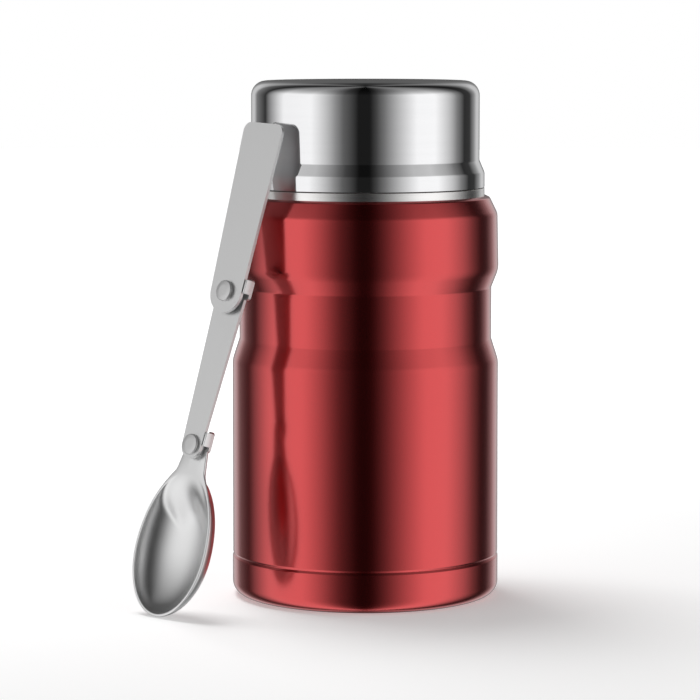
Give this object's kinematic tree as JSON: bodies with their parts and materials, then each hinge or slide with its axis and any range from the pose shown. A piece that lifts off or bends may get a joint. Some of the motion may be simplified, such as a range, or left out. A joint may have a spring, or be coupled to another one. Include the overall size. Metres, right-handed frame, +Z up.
{
  "type": "insulated food jar",
  "caption": "Vacuum-walled steel food jar with screw stopper, polished screw-on cup lid and a riveted three-piece folding spoon leaning on it.",
  "frame": {"origin": "on the jar's own axis, in the plane that the base rests on", "axes": "+Z up the jar's axis through the cup lid, -Y towards the front view, +X to the right of it"},
  "size_m": [0.1316, 0.1096, 0.1875],
  "materials": {
    "red_paint": "satin metallic candy red",
    "polished_steel": "mirror-polished stainless steel",
    "satin_steel": "satin stainless steel",
    "spoon_steel": "satin stainless steel",
    "rivet_steel": "polished stainless steel",
    "foil": "bright foil",
    "black_plastic": "matt moulded",
    "grey_plastic": "matt moulded",
    "foam": "fine closed-cell foam",
    "silicone": "soft matt",
    "getter_metal": "sintered",
    "solder_glass": "glossy solder glass"
  },
  "bodies": {
    "jar": {"outer_shell": "red_paint", "bottom_cup": "red_paint", "base_disc": "satin_steel", "vacuum_seal": "solder_glass", "getter": "getter_metal", "neck_collar": "satin_steel", "inner_liner": "satin_steel", "liner_foil": "foil"},
    "stopper_insulation": {"stopper_foam": "foam"},
    "stopper_seal": {"stopper_gasket": "silicone"},
    "stopper": {"stopper_shell": "black_plastic", "stopper_top_cover": "grey_plastic", "stopper_base": "black_plastic"},
    "cup_insulation": {"cup_foil": "foil"},
    "cup_seal": {"cup_seal_ring": "silicone"},
    "cup": {"cup_shell": "polished_steel", "cup_liner": "satin_steel", "cup_thread_ring": "grey_plastic"},
    "spoon_link": {"spoon_link": "spoon_steel", "rivet_lower": "rivet_steel", "rivet_upper": "rivet_steel", "washer_lower": "rivet_steel", "washer_upper": "rivet_steel"},
    "spoon_bowl": {"spoon_bowl": "spoon_steel"},
    "spoon_handle": {"spoon_handle": "spoon_steel"}
  },
  "joints": [
    {"name": "stopper_lift_off", "type": "slide", "parent": "jar", "child": "stopper_insulation", "axis": [0, 0, 1], "range_m": [0, 0.06]},
    {"name": "stopper_rise", "type": "slide", "parent": "stopper_insulation", "child": "stopper_seal", "axis": [0, 0, 1], "range_m": [0, 0.0045]},
    {"name": "stopper_unscrew", "type": "hinge", "parent": "stopper_seal", "child": "stopper", "pos_m": [0, 0, 0.155], "axis": [0, 0, 1], "range_deg": [0, 450]},
    {"name": "cup_lift_off", "type": "slide", "parent": "stopper", "child": "cup_insulation", "axis": [0, 0, 1], "range_m": [0, 0.06]},
    {"name": "cup_rise", "type": "slide", "parent": "cup_insulation", "child": "cup_seal", "axis": [0, 0, 1], "range_m": [0, 0.0045]},
    {"name": "cup_unscrew", "type": "hinge", "parent": "cup_seal", "child": "cup", "pos_m": [0, 0, 0.155], "axis": [0, 0, 1], "range_deg": [0, 450]},
    {"name": "spoon_take_away", "type": "slide", "parent": "jar", "child": "spoon_link", "axis": [-0.6684, -0.6922, 0.2723], "range_m": [0, 0.1]},
    {"name": "spoon_bowl_fold", "type": "hinge", "parent": "spoon_link", "child": "spoon_bowl", "pos_m": [-0.05865, -0.04201, 0.05939], "axis": [0.6684, 0.6922, -0.2723], "range_deg": [0, 180]},
    {"name": "spoon_handle_fold", "type": "hinge", "parent": "spoon_link", "child": "spoon_handle", "pos_m": [-0.04835, -0.03843, 0.11399], "axis": [-0.6684, -0.6922, 0.2723], "range_deg": [-2.6, 177.4]}
  ],
  "couplings": [
    {"joint": "stopper_rise", "follows": "stopper_unscrew", "m_per_rad": 0.00057296},
    {"joint": "cup_rise", "follows": "cup_unscrew", "m_per_rad": 0.00057296}
  ]
}
